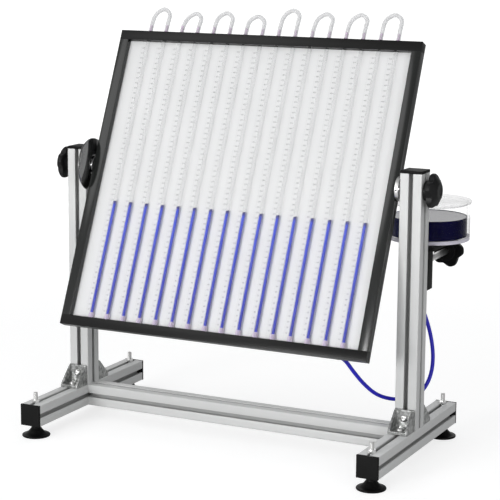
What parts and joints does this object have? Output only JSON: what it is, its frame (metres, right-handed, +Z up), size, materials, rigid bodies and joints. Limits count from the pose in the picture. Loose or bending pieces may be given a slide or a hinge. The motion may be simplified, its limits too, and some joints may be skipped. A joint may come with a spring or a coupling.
{
  "type": "multi tube manometer",
  "caption": "Bench manometer: a tilting panel of clear tubes between slotted uprights, a liquid tank that slides on one upright, a joining hose and levelling feet.",
  "frame": {"origin": "middle of the whole object's footprint, on the plane that the feet stand on", "axes": "+X to the right along the crossbar, +Y to the rear along the foot beams, +Z up"},
  "size_m": [0.7822, 0.396, 0.7832],
  "materials": {
    "profile": "satin clear anodised",
    "bracket": "tumbled die casting",
    "bolt_steel": "bright zinc plated",
    "black_plastic": "fine grained",
    "disc_plastic": "glossy",
    "black_frame": "satin black",
    "white_sheet": "satin, with printed scales",
    "clear_tube": "clear",
    "clear_hose": "clear, flexible",
    "clear_acrylic": "clear, polished",
    "blue_liquid": "dyed liquid",
    "blue_hose": "clear hose filled with blue liquid",
    "bush_plastic": "pale, translucent",
    "brass_fitting": "nickel plated"
  },
  "bodies": {
    "stand": {"beam_left": "profile", "beam_right": "profile", "crossbar": "profile", "crossbar_bolts": "bolt_steel", "upright_left": "profile", "upright_right": "profile", "beam_end_caps": "black_plastic", "upright_caps": "black_plastic", "corner_brackets": "bracket", "bracket_bolts": "bolt_steel", "bracket_slot_nuts": "bolt_steel", "foot_lock_nuts": "bolt_steel", "liquid_hose": "blue_hose"},
    "panel": {"panel_top_rail": "black_frame", "panel_lower_header": "black_frame", "panel_side_left": "black_frame", "panel_side_right": "black_frame", "panel_corner_screws": "bolt_steel", "back_sheet": "white_sheet", "measuring_tubes": "clear_tube", "tube_bushes": "bush_plastic", "tube_nozzles": "bush_plastic", "hose_loops": "clear_hose", "liquid_columns": "blue_liquid", "header_plugs": "brass_fitting", "panel_port": "brass_fitting", "pivot_disc_left": "disc_plastic", "pivot_hub_right": "bolt_steel", "pivot_washer_right": "disc_plastic"},
    "panel_knob_left_body": {"panel_knob_left": "black_plastic", "panel_stud_left": "bolt_steel"},
    "panel_knob_right_body": {"panel_knob_right": "black_plastic", "panel_stud_right": "bolt_steel"},
    "tank_carrier": {"tank_carriage": "black_frame", "carriage_slot_nut": "bolt_steel", "tank_shelf": "black_frame", "shelf_screws": "bolt_steel", "tank_screws": "bolt_steel", "clamp_washer": "bolt_steel", "clamp_sleeve": "bolt_steel", "tank_body": "clear_acrylic", "tank_lid": "clear_acrylic", "tank_liquid": "blue_liquid", "tank_outlet": "brass_fitting"},
    "tank_clamp": {"tank_knob": "black_plastic", "clamp_stud": "bolt_steel"},
    "foot_front_left": {"foot_pad_front_left": "black_plastic", "foot_stud_front_left": "bolt_steel"},
    "foot_front_right": {"foot_pad_front_right": "black_plastic", "foot_stud_front_right": "bolt_steel"},
    "foot_rear_left": {"foot_pad_rear_left": "black_plastic", "foot_stud_rear_left": "bolt_steel"},
    "foot_rear_right": {"foot_pad_rear_right": "black_plastic", "foot_stud_rear_right": "bolt_steel"}
  },
  "joints": [
    {"name": "panel_tilt", "type": "hinge", "parent": "stand", "child": "panel", "pos_m": [-0.00985, 0, 0.487], "axis": [-1, 0, 0], "range_deg": [-24, 56], "deforming": ["liquid_hose"]},
    {"name": "panel_knob_left_turn", "type": "hinge", "parent": "panel", "child": "panel_knob_left_body", "pos_m": [-0.36485, 0, 0.487], "axis": [-1, 0, 0], "range_deg": [0, 360]},
    {"name": "panel_knob_right_turn", "type": "hinge", "parent": "panel", "child": "panel_knob_right_body", "pos_m": [0.34515, 0, 0.487], "axis": [1, 0, 0], "range_deg": [0, 360]},
    {"name": "tank_height", "type": "slide", "parent": "stand", "child": "tank_carrier", "axis": [0, 0, 1], "range_m": [-0.15, 0.017], "deforming": ["liquid_hose"]},
    {"name": "tank_clamp_turn", "type": "hinge", "parent": "tank_carrier", "child": "tank_clamp", "pos_m": [0.32515, 0.1623, 0.3517], "axis": [0, 1, 0], "range_deg": [0, 360]},
    {"name": "foot_front_left_level", "type": "slide", "parent": "stand", "child": "foot_front_left", "axis": [0, 0, -1], "range_m": [0, 0.015]},
    {"name": "foot_front_right_level", "type": "slide", "parent": "stand", "child": "foot_front_right", "axis": [0, 0, -1], "range_m": [0, 0.015]},
    {"name": "foot_rear_left_level", "type": "slide", "parent": "stand", "child": "foot_rear_left", "axis": [0, 0, -1], "range_m": [0, 0.015]},
    {"name": "foot_rear_right_level", "type": "slide", "parent": "stand", "child": "foot_rear_right", "axis": [0, 0, -1], "range_m": [0, 0.015]}
  ]
}
